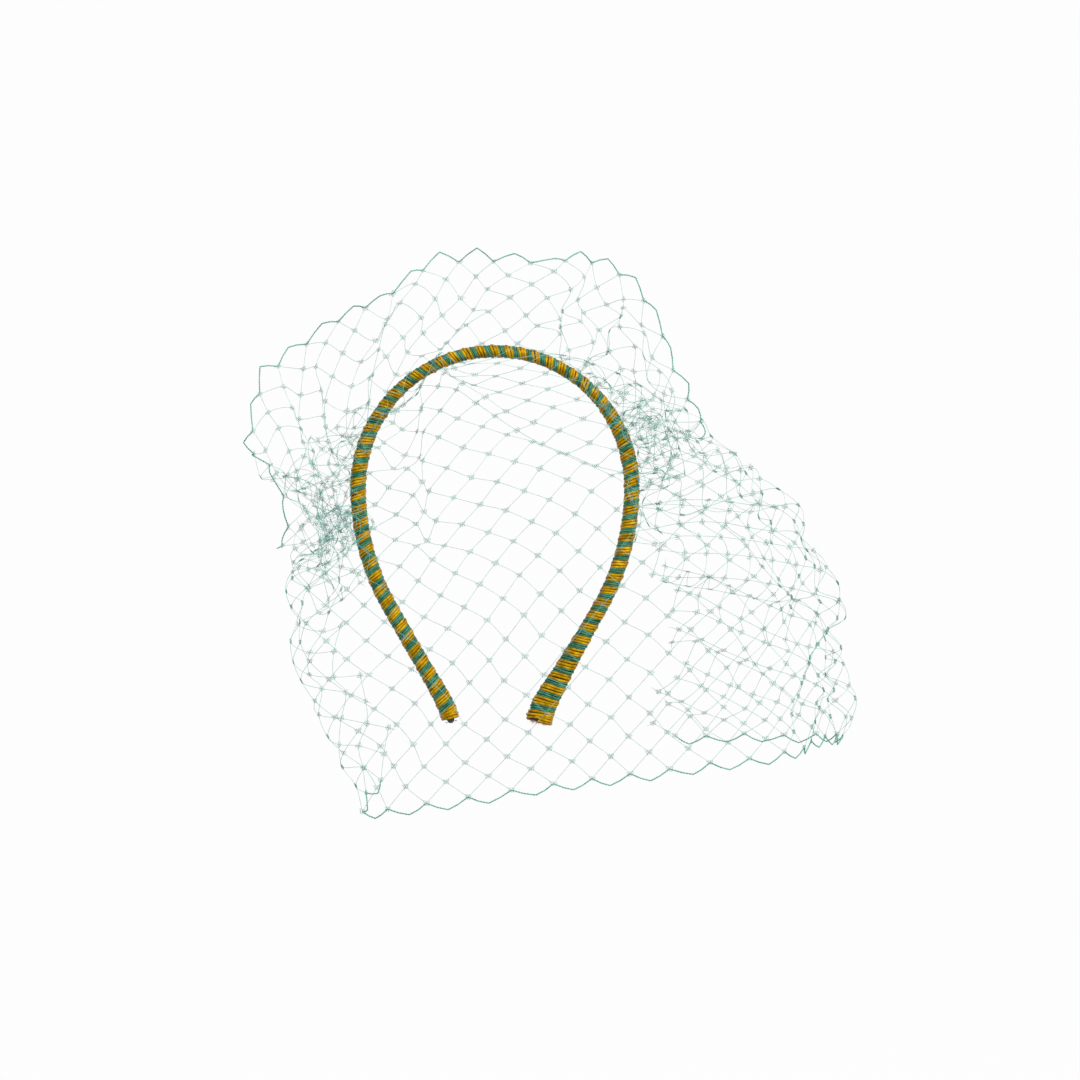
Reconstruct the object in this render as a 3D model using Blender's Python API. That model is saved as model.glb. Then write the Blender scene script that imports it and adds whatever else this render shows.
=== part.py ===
"""A veil headband: an Alice band wound with two flosses, and a strip of coarse veiling gathered on it.

Metres, +Z up, worn upright.  The origin is the underside of the band's crown, where it sits on a head.
+X is the wearer's left, where the long fall swings round, and the face looks along -Y.
"""
import functools
import math

import bpy
import numpy as np

MM = 0.001

# Path of the band, one half: crown, side, straight leg, outward tip
CROWN_RADIUS = 57 * MM
CROWN_TURN = math.radians(90)
SIDE_RADIUS = 100 * MM
SIDE_TURN = math.radians(30)
LEG_LENGTH = 42 * MM
TIP_RADIUS = 40 * MM
TIP_TURN = math.radians(18)

# Core of the band, its rounded ends, and how its tips are twisted
CORE_THICKNESS = 3.0 * MM
CORE_WIDTH = 5.8 * MM
CORE_SHOW = 2.0 * MM
TWIST_REACH = 60 * MM
RIGHT_TWIST = math.radians(65)
LEFT_TWIST = math.radians(-12)
CORE_SIDES = 6
CORE_STEP = 7 * MM

# The two flosses: what each takes of the band's run, and how far they stand up
GOLD_RUN = 3.4 * MM
TEAL_RUN = 2.4 * MM
FLOSS_HEIGHT = 1.05 * MM
SEAT_GAP = 0.35 * MM
TURN_GAP = 0.3 * MM

# The veil: reach of its hem to each side, its frill, and its struts
SIDE_REACH = 147 * MM
FRONT_REACH = 50 * MM
BACK_REACH = 42 * MM
HEM_DROP = 187 * MM
FRILL_WIDTH = 43.5 * MM
STRIP_WIDTH = 234 * MM
PUFF_OUT = 0.9
PUFF_BACK = -0.1
PLAN_MIDDLE = 0.2
LEAVE_OUT = 0.08
LEAVE_SIDE = 0.10
LEAVE_FRONT = 0.10
LEAVE_DOWN = 0.07
HANG = 0.33
BULGE_RISE = 1.3
WALL = 1.0 * MM
STRUT = 2.2 * MM
EDGE_WIDTH = 1.8 * MM
TOOTH_DEPTH = 3.7 * MM
VEIL_GAP = 0.9 * MM
GAPS_ALONG = 16
GAPS_ACROSS = 12
TOOTH_COUNT = 3
LOWER_SEAM_ROW = 7
UPPER_SEAM_ROW = 9
SEAM_SHARE = 0.8
STRUT_STEPS = 2
NORMAL_SHARE = 0.15
MITRE_LIMIT = 0.35

# Sections of the veil along its strip, from its cut end on the left to the one behind on the right.
# at: place along the strip.  hem_x, hem_y, hem_z: shares of the reaches and of the drop.
# run, top: where its fall and its frill meet the band, shares of the half band.
# fall: share of the strip below the band.  puff: height of the gathers there, a share of their net.
# out, slip, back: how the frill leans, shares of its width.  bow: the fall's bulge, a share of SIDE_REACH.
# seam, top_seam: degrees round the band, from its outer side (0) towards its front (-90) or its back,
# where the fall and the frill lie on it.
SECTION_NAMES = (
    "at", "hem_x", "hem_y", "hem_z", "run", "top", "fall", "puff", "out", "slip", "back", "bow", "seam",
    "top_seam",
)
SECTIONS = (
    (0.00, -0.29, -0.40, 0.90, -0.70, -0.70, 0.30, 0.25, 0.60, 0.79, 0.21, 0.08, -70, -10),
    (0.06, -0.36, -0.60, 0.96, -0.64, -0.64, 0.38, 0.28, 0.62, 0.62, 0.19, 0.15, -70, -10),
    (0.10, -0.37, -0.85, 1.00, -0.59, -0.59, 0.43, 0.30, 0.64, 0.57, 0.23, 0.18, -70, -10),
    (0.14, -0.32, -0.96, 1.00, -0.54, -0.54, 0.47, 0.32, 0.73, 0.62, 0.27, 0.15, -70, -10),
    (0.18, -0.22, -1.00, 0.99, -0.50, -0.50, 0.52, 0.36, 0.89, 0.56, 0.27, 0.10, -70, -10),
    (0.25, 0.01, -1.00, 0.97, -0.41, -0.41, 0.60, 0.36, 1.03, 0.41, 0.31, 0.03, -70, -10),
    (0.33, 0.24, -1.00, 0.94, -0.33, -0.33, 0.66, 0.36, 0.97, 0.33, 0.36, 0.02, -70, -10),
    (0.41, 0.45, -1.00, 0.91, -0.23, -0.23, 0.72, 0.36, 0.82, 0.25, 0.36, 0.02, -70, -5),
    (0.49, 0.68, -1.00, 0.88, -0.10, -0.10, 0.76, 0.36, 0.84, -0.05, 0.36, 0.03, -70, 0),
    (0.57, 0.86, -0.60, 0.86, 0.08, 0.06, 0.75, 0.36, 0.81, -0.61, 0.29, 0.05, -65, 5),
    (0.65, 0.94, 0.00, 0.85, 0.21, 0.16, 0.72, 0.36, 0.77, -0.63, 0.29, 0.13, -60, 20),
    (0.73, 1.00, 0.57, 0.85, 0.30, 0.22, 0.68, 0.30, 0.92, -0.68, 0.28, 0.16, -65, 30),
    (0.77, 1.00, 0.86, 0.85, 0.34, 0.25, 0.66, 0.26, 0.92, -0.62, 0.24, 0.17, -70, 30),
    (0.84, 0.86, 1.00, 0.85, 0.42, 0.31, 0.61, 0.18, 0.72, -0.35, 0.20, 0.20, -75, 30),
    (0.92, 0.62, 1.00, 0.85, 0.50, 0.36, 0.56, 0.13, 0.67, -0.08, 0.20, 0.16, -80, 30),
    (1.00, 0.48, 1.00, 0.83, 0.57, 0.41, 0.52, 0.10, 0.60, -0.12, 0.16, 0.10, -80, 30),
)

# Folds pressed into the veil: place along and across the strip, its half widths there, how far each
# step across moves it along, and its height as a share of FRILL_WIDTH, forward when positive.
FOLD_NAMES = ("at", "across", "half_at", "half_across", "lean", "height")
FOLDS = (
    (0.20, 0.92, 0.030, 0.20, 0.2, 0.26),
    (0.30, 0.94, 0.035, 0.20, 0.2, -0.22),
    (0.45, 0.92, 0.040, 0.20, 0.0, 0.18),
    (0.53, 0.92, 0.030, 0.20, 0.0, -0.25),
    (0.62, 0.92, 0.040, 0.20, -0.1, 0.28),
    (0.72, 0.92, 0.035, 0.20, -0.1, -0.20),
    (0.84, 0.92, 0.040, 0.20, -0.1, 0.16),
    (0.36, 0.56, 0.050, 0.10, 0.9, 0.20),
    (0.20, 0.38, 0.030, 0.16, 0.1, 0.18),
    (0.62, 0.55, 0.030, 0.20, 0.2, 0.24),
    (0.70, 0.50, 0.030, 0.20, 0.2, -0.22),
    (0.80, 0.45, 0.035, 0.22, 0.1, 0.22),
)

# Colour, roughness and metallic value of each piece
FINISHES = {
    "band_core": ((0.05, 0.06, 0.055), 0.8, 0.0),
    "gold_winding": ((0.45, 0.24, 0.012), 0.4, 0.0),
    "teal_winding": ((0.03, 0.15, 0.095), 0.45, 0.0),
    "veil": ((0.22, 0.5, 0.42), 0.6, 0.0),
}

BAND_ARCS = (
    (CROWN_RADIUS, CROWN_RADIUS * CROWN_TURN),
    (SIDE_RADIUS, SIDE_RADIUS * SIDE_TURN),
    (math.inf, LEG_LENGTH),
    (-TIP_RADIUS, TIP_RADIUS * TIP_TURN),
)
HALF_BAND = sum(length for radius, length in BAND_ARCS)
SEAT_THICKNESS = CORE_THICKNESS + 2 * SEAT_GAP
SEAT_WIDTH = CORE_WIDTH + 2 * SEAT_GAP
BAND_THICKNESS = SEAT_THICKNESS + 2 * FLOSS_HEIGHT
BAND_WIDTH = SEAT_WIDTH + 2 * FLOSS_HEIGHT
DEPTH = np.array((0.0, 1.0, 0.0))


def clear_scene():
    for thing in list(bpy.data.objects):
        bpy.data.objects.remove(thing)


def make_node(name, points, faces, smooth=False):
    mesh = bpy.data.meshes.new(name)
    mesh.from_pydata([tuple(point) for point in points], [], faces)
    mesh.validate()
    if smooth:
        mesh.shade_smooth()
    node = bpy.data.objects.new(name, mesh)
    bpy.context.scene.collection.objects.link(node)
    colour, roughness, metallic = FINISHES[name]
    finish = bpy.data.materials.new(name)
    finish.use_nodes = True
    shader = finish.node_tree.nodes["Principled BSDF"]
    shader.inputs["Base Color"].default_value = (*colour, 1.0)
    shader.inputs["Roughness"].default_value = roughness
    shader.inputs["Metallic"].default_value = metallic
    mesh.materials.append(finish)
    return node


def smooth_step(share):
    share = min(max(share, 0.0), 1.0)
    return share * share * (3 - 2 * share)


# The band's path

def band_place(run):
    """Centre, outward, along and depth directions at a signed run from the crown's middle."""
    side = 1.0 if run >= 0 else -1.0
    left = abs(run)
    x, z, lean = 0.0, BAND_THICKNESS / 2, 0.0
    for index, (radius, length) in enumerate(BAND_ARCS):
        step = left if index == len(BAND_ARCS) - 1 else min(left, length)
        if math.isinf(radius):
            x += math.cos(lean) * step
            z -= math.sin(lean) * step
        else:
            turned = lean + step / radius
            x += radius * (math.sin(turned) - math.sin(lean))
            z += radius * (math.cos(turned) - math.cos(lean))
            lean = turned
        left -= step
        if left <= 0:
            break
    centre = np.array((side * x, 0.0, z))
    outward = np.array((side * math.sin(lean), 0.0, math.cos(lean)))
    along = np.array((math.cos(lean), 0.0, -side * math.sin(lean)))
    twist = RIGHT_TWIST if run >= 0 else LEFT_TWIST
    angle = twist * smooth_step((abs(run) - HALF_BAND + TWIST_REACH) / TWIST_REACH)
    turned_out = math.cos(angle) * outward + math.sin(angle) * DEPTH
    turned_depth = math.cos(angle) * DEPTH - math.sin(angle) * outward
    return centre, turned_out, along, turned_depth


def corner_point(run, corner, thickness, width):
    """A corner of the six-sided section, whose flats face outward and inward."""
    centre, outward, along, depth = band_place(run)
    angle = -2 * math.pi * (corner + 0.5) / CORE_SIDES
    flat = math.cos(math.pi / CORE_SIDES)
    rise = thickness / 2 * math.cos(angle) / flat
    reach = width / 2 * math.sin(angle)
    return centre + outward * rise + depth * reach


def skin_rings(rings):
    """Faces that join a row of equal rings, with both ends closed."""
    sides = len(rings[0])
    points = [point for ring in rings for point in ring]
    faces = [tuple(reversed(range(sides)))]
    for ring in range(len(rings) - 1):
        for side in range(sides):
            after = (side + 1) % sides
            near, far = ring * sides, (ring + 1) * sides
            faces.append((near + side, near + after, far + after, far + side))
    last = (len(rings) - 1) * sides
    faces.append(tuple(last + side for side in range(sides)))
    return points, faces


def core_sections():
    """Runs and size factors of the core's sections, with a rounded end at each tip."""
    count = math.ceil(2 * (HALF_BAND - CORE_SHOW) / CORE_STEP)
    body = np.linspace(-HALF_BAND + CORE_SHOW, HALF_BAND - CORE_SHOW, count + 1)
    dome = [(math.sin(angle), math.cos(angle)) for angle in np.radians((40, 70))]
    left = [(-HALF_BAND + CORE_SHOW * (1 - reach), size) for reach, size in reversed(dome)]
    right = [(HALF_BAND - CORE_SHOW * (1 - reach), size) for reach, size in dome]
    return left + [(run, 1.0) for run in body] + right


def make_band_core():
    rings = []
    for run, size in core_sections():
        corners = range(CORE_SIDES)
        ring = [corner_point(run, c, CORE_THICKNESS * size, CORE_WIDTH * size) for c in corners]
        rings.append(ring)
    return make_node("band_core", *skin_rings(rings))


# The windings

def make_winding(name, floss_run, offset):
    """One floss: a ridge that climbs the core by one pitch a turn, clear of the core and its neighbour."""
    pitch = GOLD_RUN + TEAL_RUN
    start = -HALF_BAND + CORE_SHOW + offset
    room = 2 * (HALF_BAND - CORE_SHOW) - 2 * offset
    steps = int(room / pitch * CORE_SIDES)
    half = (floss_run - TURN_GAP) / 2
    rings = []
    for step in range(steps + 1):
        run = start + pitch * step / CORE_SIDES
        crest = corner_point(run, step, BAND_THICKNESS, BAND_WIDTH)
        low = corner_point(run - half, step, SEAT_THICKNESS, SEAT_WIDTH)
        high = corner_point(run + half, step, SEAT_THICKNESS, SEAT_WIDTH)
        rings.append([low, high, crest])
    return make_node(name, *skin_rings(rings))


# The veil's surface

@functools.lru_cache(maxsize=None)
def section_curve(name):
    """Places of the sections, a column's values there, and its slopes."""
    places = np.array([row[0] for row in SECTIONS])
    values = np.array([row[SECTION_NAMES.index(name)] for row in SECTIONS])
    return places, values, np.gradient(values, places)


def section_value(name, at):
    """A column of the section table at any place along the strip, on a smooth curve through its rows."""
    places, values, slopes = section_curve(name)
    row = int(np.searchsorted(places[1:-1], at))
    span = places[row + 1] - places[row]
    share = (at - places[row]) / span
    rise = share * share * (3 - 2 * share)
    leave = share * (1 - share) ** 2 * slopes[row]
    arrive = share * share * (share - 1) * slopes[row + 1]
    return values[row] * (1 - rise) + values[row + 1] * rise + span * (leave + arrive)


def seam_point(run, degrees):
    """Where the veil lies on the windings, clear of their crests."""
    centre, outward, along, depth = band_place(run)
    lift = VEIL_GAP + WALL / 2
    angle = math.radians(degrees)
    rise = math.cos(angle) * (BAND_THICKNESS / 2 + lift)
    reach = math.sin(angle) * (BAND_WIDTH / 2 + lift)
    return centre + outward * rise + depth * reach


def fold_height(at, across):
    total = 0.0
    for fold_at, fold_across, half_at, half_across, lean, height in FOLDS:
        away = (at - fold_at - lean * (across - fold_across)) / half_at
        along = (across - fold_across) / half_across
        total += height * math.exp(-away * away - along * along)
    return total * FRILL_WIDTH


def veil_point(at, across):
    """A point of the veil: at runs along the strip, across from its hem to its frill."""
    row = {name: section_value(name, at) for name in SECTION_NAMES[1:]}
    fall = row["fall"]
    if across < fall:
        run = row["run"] * HALF_BAND
        outward = band_place(run)[1]
        lower_seam = seam_point(run, row["seam"])
        share = across / fall
        bulge = math.sin(math.pi * max(share, 0.0) ** BULGE_RISE) ** 2
        hem_reach = FRONT_REACH if row["hem_y"] < 0 else BACK_REACH
        hem = np.array((row["hem_x"] * SIDE_REACH, row["hem_y"] * hem_reach, -row["hem_z"] * HEM_DROP))
        sideways = np.array((hem[0] - PLAN_MIDDLE * SIDE_REACH, 1.5 * hem[1], 0.0))
        sideways = sideways / np.linalg.norm(sideways)
        length = np.linalg.norm(hem - lower_seam)
        leave = LEAVE_OUT * outward + np.array((LEAVE_SIDE * sideways[0], -LEAVE_FRONT, -LEAVE_DOWN))
        upper = lower_seam + length * leave
        lower = hem + np.array((0.0, 0.0, HANG * length))
        rest = 1 - share
        point = rest**3 * hem + 3 * rest**2 * share * lower
        point = point + 3 * rest * share**2 * upper + share**3 * lower_seam
        point = point + sideways * bulge * (row["bow"] * SIDE_REACH + fold_height(at, across))
    elif across < SEAM_SHARE:
        share = (across - fall) / (SEAM_SHARE - fall)
        run = (row["run"] + (row["top"] - row["run"]) * share) * HALF_BAND
        outward = band_place(run)[1]
        height = row["puff"] * (SEAM_SHARE - fall) * STRIP_WIDTH
        point = seam_point(run, row["seam"] + (row["top_seam"] - row["seam"]) * share)
        point = point + (PUFF_OUT * outward + PUFF_BACK * DEPTH) * height * math.sin(math.pi * share)
    else:
        share = (across - SEAM_SHARE) / (1 - SEAM_SHARE)
        run = row["top"] * HALF_BAND
        outward, along = band_place(run)[1:3]
        lean = row["out"] * outward + row["slip"] * along + row["back"] * DEPTH
        point = seam_point(run, row["top_seam"]) + lean * FRILL_WIDTH * share
        point = point - DEPTH * fold_height(at, across) * min(share * 1.5, 1.0)
    return point


# The veil's struts

def lattice_point(column, row):
    """The seams lie on rows of their own, so that the veil turns over the band along a row of knots."""
    at = column / GAPS_ALONG
    fall = section_value("fall", at)
    rows = (-1, 0, LOWER_SEAM_ROW, UPPER_SEAM_ROW, GAPS_ACROSS)
    shares = (-fall / LOWER_SEAM_ROW, 0.0, fall, SEAM_SHARE, 1.0)
    return veil_point(at, float(np.interp(row, rows, shares)))


def lattice_normal(column, row):
    step = 0.05
    along = lattice_point(column + step, row) - lattice_point(column - step, row)
    across = lattice_point(column, row + step) - lattice_point(column, row - step)
    normal = np.cross(along, across)
    return normal / np.linalg.norm(normal)


def gap_corners(column, row):
    """Corners of one gap on the lattice, in order round it: a diamond, or half of one at an edge."""
    corners = ((column + 1, row), (column, row + 1), (column - 1, row), (column, row - 1))
    return [c for c in corners if 0 <= c[0] <= GAPS_ALONG and 0 <= c[1] <= GAPS_ACROSS]


def outline_places(corners):
    """Places along a gap's outline, with the width of net beside each and how far it stands out."""
    places = []
    for index, start in enumerate(corners):
        end = corners[(index + 1) % len(corners)]
        toothed = start[1] == end[1] and start[1] in (0, GAPS_ACROSS)
        steps = 2 * TOOTH_COUNT if toothed else STRUT_STEPS
        for step in range(steps):
            share = step / steps
            place = (start[0] + (end[0] - start[0]) * share, start[1] + (end[1] - start[1]) * share)
            width = EDGE_WIDTH if toothed and step else STRUT / 2
            places.append((place, width, TOOTH_DEPTH if toothed and step % 2 else 0.0))
    return places


def tooth_offset(place, height):
    """How far a tooth's tip stands beyond the strip's edge."""
    if not height:
        return np.zeros(3)
    inner_row = 1 if place[1] == 0 else GAPS_ACROSS - 1
    outward = lattice_point(*place) - lattice_point(place[0], inner_row)
    return outward / np.linalg.norm(outward) * height


def inner_outline(places):
    """The gap itself: its outline moved in from the lattice by the width of net on each side."""
    middle = np.mean([place for place, width, height in places], axis=0)
    points = [lattice_point(*place) for place, width, height in places]
    inner = []
    for index, (place, width, height) in enumerate(places):
        here = points[index]
        before = here - points[index - 1]
        after = points[(index + 1) % len(points)] - here
        normal = lattice_normal(*(np.array(place) + (middle - place) * NORMAL_SHARE))
        sides = [np.cross(normal, side) / np.linalg.norm(side) for side in (before, after)]
        inward = sides[0] + sides[1]
        inward = inward / np.linalg.norm(inward)
        spread = width / max(float(inward @ sides[0]), MITRE_LIMIT)
        room = 0.4 * np.linalg.norm(lattice_point(*middle) - here)
        inner.append(here + tooth_offset(place, height) + inward * min(spread, room))
    return inner


def make_veil():
    """A ring of faces round each gap; neighbouring rings share their outlines."""
    points = []
    faces = []
    shared = {}
    for column in range(GAPS_ALONG + 1):
        for row in range(GAPS_ACROSS + 1):
            if (column + row) % 2 == 0:
                continue
            places = outline_places(gap_corners(column, row))
            outer = []
            for place, width, height in places:
                key = (round(place[0], 4), round(place[1], 4))
                if key not in shared:
                    shared[key] = len(points)
                    points.append(lattice_point(*place) + tooth_offset(place, height))
                outer.append(shared[key])
            first = len(points)
            points.extend(inner_outline(places))
            for index in range(len(places)):
                after = (index + 1) % len(places)
                faces.append((outer[index], outer[after], first + after, first + index))
    veil = make_node("veil", points, faces)
    wall = veil.modifiers.new("wall", "SOLIDIFY")
    wall.thickness = WALL
    wall.offset = 0.0
    return veil


def main():
    clear_scene()
    make_band_core()
    make_winding("gold_winding", GOLD_RUN, GOLD_RUN / 2)
    make_winding("teal_winding", TEAL_RUN, GOLD_RUN + TEAL_RUN / 2)
    make_veil()


main()
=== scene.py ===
"""The looks of the veil headband: satin windings, and diamond veiling of real threads and knots.

Everything is in metres, in the part's own frame. The band's path repeats the part's own values. The
veil's sections begin as the part's: their run, top, fall and puff and the seam at the crown have been
moved to where the real mesh lies.
"""
import functools
import math

import bpy
import numpy as np
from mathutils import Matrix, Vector


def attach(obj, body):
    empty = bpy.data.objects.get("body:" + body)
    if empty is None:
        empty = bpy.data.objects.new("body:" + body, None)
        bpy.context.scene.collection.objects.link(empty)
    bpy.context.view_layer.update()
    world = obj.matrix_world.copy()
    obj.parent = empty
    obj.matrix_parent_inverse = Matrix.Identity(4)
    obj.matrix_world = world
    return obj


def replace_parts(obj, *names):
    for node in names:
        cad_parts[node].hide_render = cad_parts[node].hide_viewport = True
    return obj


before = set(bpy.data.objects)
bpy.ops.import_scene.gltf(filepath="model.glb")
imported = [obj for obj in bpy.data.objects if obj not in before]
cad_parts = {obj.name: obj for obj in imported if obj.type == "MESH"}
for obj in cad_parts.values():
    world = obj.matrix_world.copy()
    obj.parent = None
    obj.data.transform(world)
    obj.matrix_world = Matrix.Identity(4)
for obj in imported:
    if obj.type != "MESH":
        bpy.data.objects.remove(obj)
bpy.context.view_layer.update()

MM = 0.001
DEPTH = np.array((0.0, 1.0, 0.0))

# Camera: straight on, aimed at the middle of the photograph's frame
CAMERA_DISTANCE = 1.2
FRAME_WIDTH = 0.45
AIM_X = 18.75 * MM
AIM_Z = -75.8 * MM
SENSOR = 36.0

# The band's path and section, as in the part
CROWN_RADIUS = 57 * MM
CROWN_TURN = math.radians(90)
SIDE_RADIUS = 100 * MM
SIDE_TURN = math.radians(30)
LEG_LENGTH = 42 * MM
TIP_RADIUS = 40 * MM
TIP_TURN = math.radians(18)
TWIST_REACH = 60 * MM
RIGHT_TWIST = math.radians(65)
LEFT_TWIST = math.radians(-12)
CORE_SHOW = 2.0 * MM
SEAT_THICKNESS = 3.7 * MM
SEAT_WIDTH = 6.5 * MM
BAND_THICKNESS = 5.8 * MM
BAND_WIDTH = 8.6 * MM
GOLD_RUN = 3.4 * MM
TEAL_RUN = 2.4 * MM
BAND_ARCS = (
    (CROWN_RADIUS, CROWN_RADIUS * CROWN_TURN),
    (SIDE_RADIUS, SIDE_RADIUS * SIDE_TURN),
    (math.inf, LEG_LENGTH),
    (-TIP_RADIUS, TIP_RADIUS * TIP_TURN),
)
HALF_BAND = sum(length for _, length in BAND_ARCS)

# The drawn strands stand 0.3 to 0.5 mm prouder than the part's windings. Near the tips they are padded
# further, and at the crown they lie lower: fully up to the first of the two runs from the middle, and not
# at all past the second.
RIGHT_TIP_PADDING = 1.0 * MM
LEFT_TIP_PADDING = 0.5 * MM
TIP_PADDING_RUN = 28 * MM
CROWN_THINNING = 0.65 * MM
CROWN_THINNING_RUNS = (35 * MM, 80 * MM)

# Each floss: how many strands lie side by side, half their width and height, how high the middle one
# lies, and the turns that close the floss at each tip
GOLD_FLOSS = (3, 0.66 * MM, 0.6 * MM, 1.56, 1)
TEAL_FLOSS = (3, 0.46 * MM, 0.45 * MM, 1.4, 0.5)

# The veil's sizes, and its sections from its left end to its right end
SIDE_REACH = 147 * MM
FRONT_REACH = 50 * MM
BACK_REACH = 42 * MM
HEM_DROP = 187 * MM
FRILL_WIDTH = 43.5 * MM
STRIP_WIDTH = 234 * MM
PUFF_OUT = 0.9
PUFF_BACK = -0.1
PLAN_MIDDLE = 0.2
LEAVE_OUT = 0.08
LEAVE_SIDE = 0.10
LEAVE_FRONT = 0.10
LEAVE_DOWN = 0.07
HANG = 0.33
BULGE_RISE = 1.3
SEAM_LIFT = 0.5 * MM
SEAM_SHARE = 0.8
CROWN_SEAM_SHARE = 0.83
SECTION_NAMES = (
    "at", "hem_x", "hem_y", "hem_z", "run", "top", "fall", "puff", "out", "slip", "back", "bow", "seam",
    "top_seam",
)
SECTIONS = (
    (0.00, -0.29, -0.40, 0.90, -0.62, -0.56, 0.36, 0.16, 0.60, 0.79, 0.21, 0.08, -70, -10),
    (0.06, -0.36, -0.60, 0.96, -0.58, -0.54, 0.42, 0.18, 0.62, 0.62, 0.19, 0.15, -70, -10),
    (0.10, -0.37, -0.85, 1.00, -0.55, -0.52, 0.46, 0.20, 0.64, 0.57, 0.23, 0.18, -70, -10),
    (0.14, -0.32, -0.96, 1.00, -0.52, -0.49, 0.50, 0.24, 0.73, 0.62, 0.27, 0.15, -70, -10),
    (0.18, -0.22, -1.00, 0.99, -0.49, -0.46, 0.54, 0.30, 0.89, 0.56, 0.27, 0.10, -70, -10),
    (0.25, 0.01, -1.00, 0.97, -0.41, -0.41, 0.62, 0.36, 1.03, 0.41, 0.31, 0.03, -70, -10),
    (0.33, 0.24, -1.00, 0.94, -0.33, -0.33, 0.72, 0.36, 0.97, 0.33, 0.36, 0.02, -70, -10),
    (0.41, 0.45, -1.00, 0.91, -0.23, -0.23, 0.79, 0.36, 0.82, 0.25, 0.36, 0.02, -70, -5),
    (0.49, 0.68, -1.00, 0.88, -0.10, -0.10, 0.82, 0.36, 0.84, -0.05, 0.36, 0.03, -70, 0),
    (0.57, 0.86, -0.60, 0.86, 0.08, 0.06, 0.815, 0.36, 0.81, -0.61, 0.29, 0.05, -65, 5),
    (0.65, 0.94, 0.00, 0.85, 0.21, 0.16, 0.78, 0.36, 0.77, -0.63, 0.29, 0.13, -60, 20),
    (0.73, 1.00, 0.57, 0.85, 0.30, 0.22, 0.72, 0.30, 0.92, -0.68, 0.28, 0.16, -65, 30),
    (0.77, 1.00, 0.86, 0.85, 0.34, 0.25, 0.69, 0.26, 0.92, -0.62, 0.24, 0.17, -70, 30),
    (0.84, 0.86, 1.00, 0.85, 0.42, 0.31, 0.63, 0.18, 0.72, -0.35, 0.20, 0.20, -75, 30),
    (0.92, 0.62, 1.00, 0.85, 0.50, 0.36, 0.56, 0.13, 0.67, -0.08, 0.20, 0.16, -80, 30),
    (1.00, 0.48, 1.00, 0.83, 0.57, 0.41, 0.52, 0.10, 0.60, -0.12, 0.16, 0.10, -80, 30),
)

# Folds pressed into the veil: place along and across the strip, its half widths there, how far each
# step across moves it along, and its height as a share of FRILL_WIDTH, forward when positive.
FOLDS = (
    (0.20, 0.92, 0.030, 0.20, 0.2, 0.26),
    (0.30, 0.94, 0.035, 0.20, 0.2, -0.22),
    (0.45, 0.92, 0.040, 0.20, 0.0, 0.18),
    (0.53, 0.92, 0.030, 0.20, 0.0, -0.25),
    (0.62, 0.92, 0.040, 0.20, -0.1, 0.28),
    (0.72, 0.92, 0.035, 0.20, -0.1, -0.20),
    (0.84, 0.92, 0.040, 0.20, -0.1, 0.16),
    (0.36, 0.56, 0.050, 0.10, 0.9, 0.20),
    (0.20, 0.38, 0.030, 0.16, 0.1, 0.18),
    (0.62, 0.55, 0.030, 0.20, 0.2, 0.24),
    (0.70, 0.50, 0.030, 0.20, 0.2, -0.22),
    (0.80, 0.45, 0.035, 0.22, 0.1, 0.22),
)

# The net's edges in the photograph: knots of the hem and teeth of the frill, from the left end, in
# millimetres across and up in the band's plane.
HEM_KNOTS = (
    (-47.9, -175.0), (-54.3, -180.3), (-56.8, -190.6), (-49.4, -191.9), (-34.3, -190.2), (-17.1, -187.9),
    (1.5, -185.7), (19.6, -182.5), (35.3, -179.8), (51.5, -177.1), (68.3, -174.1), (86.7, -170.6),
    (104.0, -167.8), (120.0, -164.2), (128.3, -161.7), (131.9, -159.3), (137.0, -158.1), (142.1, -157.5),
    (144.5, -156.7), (142.9, -156.2), (135.0, -155.8), (122.1, -156.5), (105.4, -156.4), (88.8, -156.4),
    (75.6, -156.7),
)
FRILL_TEETH = (
    (-91.0, -79.4), (-88.5, -74.9), (-88.3, -62.9), (-93.9, -47.7), (-101.2, -40.4), (-104.8, -35.2),
    (-101.8, -19.2), (-97.9, -3.5), (-86.1, 4.5), (-72.1, 14.4), (-58.9, 21.7), (-47.8, 26.0),
    (-35.0, 36.2), (-23.1, 44.2), (-7.5, 45.9), (8.2, 43.6), (24.8, 41.5), (35.7, 44.4),
    (47.1, 41.4), (58.6, 33.6), (67.2, 20.0), (73.2, 4.3), (80.7, -10.5), (84.8, -21.2),
    (87.7, -30.7),
)

# Creases that gather the hanging net: the part of the strip they lie in, half width, how much of the
# distance to the crease is taken up, height of its pleats, how many knots along and across the strip
# make a pleat's step, and points along it as above.
CREASES = (
    (0.36, 0.62, 20.0, 0.88, 5.0, (1, 1), (-24, -2), (-15, -10), (-6, -18), (2, -25), (10, -31), (21, -37),
     (33, -43), (48, -50)),
    (0.27, 0.42, 16.0, 0.80, 4.8, (1, 0), (-33, -18), (-31, -34), (-30, -55), (-30, -76)),
    (0.46, 0.68, 10.0, 0.85, 4.8, (1, 1), (60, -46), (67, -59), (77, -70), (85, -77), (94, -84), (110, -92),
     (121, -99), (140, -107)),
    (0.56, 0.76, 10.0, 0.85, 4.8, (1, 1), (80, -33), (90, -47), (98, -63), (104, -76), (110, -86),
     (121, -99)),
)

# The net's mesh: length of a side, its width and height at rest, rows of half meshes, teeth of the edge
MESH_SIDE = 10.8 * MM
MESH_WIDTH = 17.7 * MM
MESH_HEIGHT = 12.3 * MM
HALF_ROWS = 38
TEETH = 25.5
SLANT = 7.0
THREAD_RADIUS = 0.08 * MM
KNOT_WIDTH = 2.7 * MM
KNOT_HEIGHT = 1.8 * MM
KNOT_DEPTH = 0.4 * MM
TOOTH_DEPTH = 3.7 * MM
SEED = 7
KNOT_TURNS = 3.5
POINTS_A_TURN = 6
SPAN_STEPS = 5

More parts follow.
